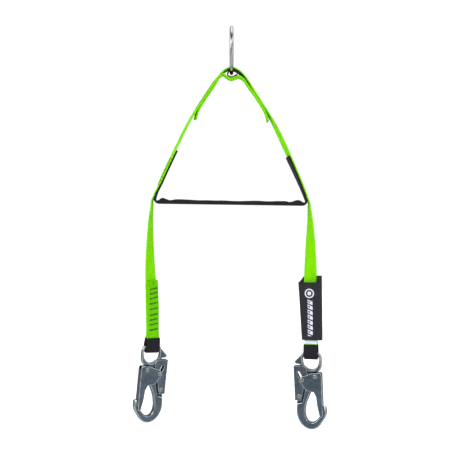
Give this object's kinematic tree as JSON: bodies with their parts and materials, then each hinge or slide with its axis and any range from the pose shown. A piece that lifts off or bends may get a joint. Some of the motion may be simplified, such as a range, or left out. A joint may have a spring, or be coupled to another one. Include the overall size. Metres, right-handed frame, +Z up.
{
  "type": "spreader bar lanyard",
  "caption": "Webbing lanyard hung from a ring, its legs held apart by a covered spreader bar and ending in self-closing, self-locking snap hooks.",
  "frame": {"origin": "inside top of the ring's wire, at its outermost point above the hanging lanyard's middle", "axes": "+Z up, along the hanging lanyard; +X to the leg that carries the label cover; the straps lie in the XZ plane and the ring in the YZ plane"},
  "size_m": [0.3708, 0.0924, 0.7681],
  "materials": {
    "green_webbing": "woven polyester webbing, bright lime green",
    "black_webbing": "woven nylon webbing and binding, black",
    "zinc_plated_steel": "forged or pressed steel, zinc plated, satin",
    "polished_steel": "polished steel",
    "black_plastic": "moulded black plastic",
    "white_label": "white coated label fabric"
  },
  "bodies": {
    "ring": {"top_ring": "polished_steel"},
    "yoke": {"yoke_strap": "green_webbing", "keeper_strap": "green_webbing", "ring_wear_pad": "black_webbing", "spreader_sleeve": "black_webbing", "spreader_bar": "zinc_plated_steel", "left_bar_cap": "black_plastic", "right_bar_cap": "black_plastic"},
    "left_leg": {"left_leg_strap": "green_webbing", "left_loop_sleeve": "black_webbing"},
    "left_hook": {"left_hook_body": "zinc_plated_steel", "left_gate_rivet": "polished_steel", "left_lever_rivet": "polished_steel", "left_gate_spring": "polished_steel", "left_lever_spring": "polished_steel"},
    "left_gate_unit": {"left_gate": "zinc_plated_steel", "left_catch_pin": "polished_steel"},
    "left_lever_unit": {"left_lock_lever": "zinc_plated_steel"},
    "right_leg": {"right_leg_strap": "green_webbing", "right_loop_sleeve": "black_webbing", "label_cover": "black_webbing", "cover_hook_tape": "black_webbing", "label_booklet": "white_label"},
    "right_hook": {"right_hook_body": "zinc_plated_steel", "right_gate_rivet": "polished_steel", "right_lever_rivet": "polished_steel", "right_gate_spring": "polished_steel", "right_lever_spring": "polished_steel"},
    "right_gate_unit": {"right_gate": "zinc_plated_steel", "right_catch_pin": "polished_steel"},
    "right_lever_unit": {"right_lock_lever": "zinc_plated_steel"},
    "cover_flap": {"label_cover_flap": "black_webbing", "cover_loop_tape": "black_webbing"}
  },
  "joints": [
    {"name": "yoke_swing", "type": "hinge", "parent": "ring", "child": "yoke", "pos_m": [0, 0, -0.08006], "axis": [0, 1, 0], "range_deg": [-60, 60]},
    {"name": "left_leg_swing", "type": "hinge", "parent": "yoke", "child": "left_leg", "pos_m": [-0.1515, 0, -0.3255], "axis": [0, 1, 0], "range_deg": [-12, 80]},
    {"name": "left_hook_swing", "type": "hinge", "parent": "left_leg", "child": "left_hook", "pos_m": [-0.1524, 0, -0.6048], "axis": [-0.8803, -0.4704, 0.0622], "range_deg": [-90, 90]},
    {"name": "left_gate_open", "type": "hinge", "parent": "left_hook", "child": "left_gate_unit", "pos_m": [-0.16286, -0.00404, -0.64516], "axis": [0.4692, -0.8825, -0.0332], "range_deg": [0, 25], "stiffness_Nm_per_rad": 0.6, "springref_deg": -17.19, "deforming": ["left_gate_spring"]},
    {"name": "left_lever_press", "type": "hinge", "parent": "left_hook", "child": "left_lever_unit", "pos_m": [-0.13854, 0.01044, -0.68648], "axis": [0.4692, -0.8825, -0.0332], "range_deg": [0, 7.2], "stiffness_Nm_per_rad": 0.4, "springref_deg": -17.19, "deforming": ["left_lever_spring"]},
    {"name": "right_leg_swing", "type": "hinge", "parent": "yoke", "child": "right_leg", "pos_m": [0.1482, 0, -0.3295], "axis": [0, -1, 0], "range_deg": [-12, 80]},
    {"name": "right_hook_swing", "type": "hinge", "parent": "right_leg", "child": "right_hook", "pos_m": [0.1518, 0, -0.6173], "axis": [0.9562, -0.2924, 0.0105], "range_deg": [-90, 90]},
    {"name": "right_gate_open", "type": "hinge", "parent": "right_hook", "child": "right_gate_unit", "pos_m": [0.16047, -0.00251, -0.65821], "axis": [0.2924, 0.9563, 0.0032], "range_deg": [0, 25], "stiffness_Nm_per_rad": 0.6, "springref_deg": -17.19, "deforming": ["right_gate_spring"]},
    {"name": "right_lever_press", "type": "hinge", "parent": "right_hook", "child": "right_lever_unit", "pos_m": [0.13146, 0.00649, -0.69803], "axis": [0.2924, 0.9563, 0.0032], "range_deg": [0, 7.2], "stiffness_Nm_per_rad": 0.4, "springref_deg": -17.19, "deforming": ["right_lever_spring"]},
    {"name": "label_flap_open", "type": "hinge", "parent": "right_leg", "child": "cover_flap", "pos_m": [0.12922, -0.00031, -0.61755], "axis": [0.011, 0, -0.9999], "range_deg": [0, 150]}
  ],
  "couplings": [
    {"joint": "left_lever_press", "follows": "left_gate_open", "ratio": 0.28},
    {"joint": "right_lever_press", "follows": "right_gate_open", "ratio": 0.28}
  ]
}
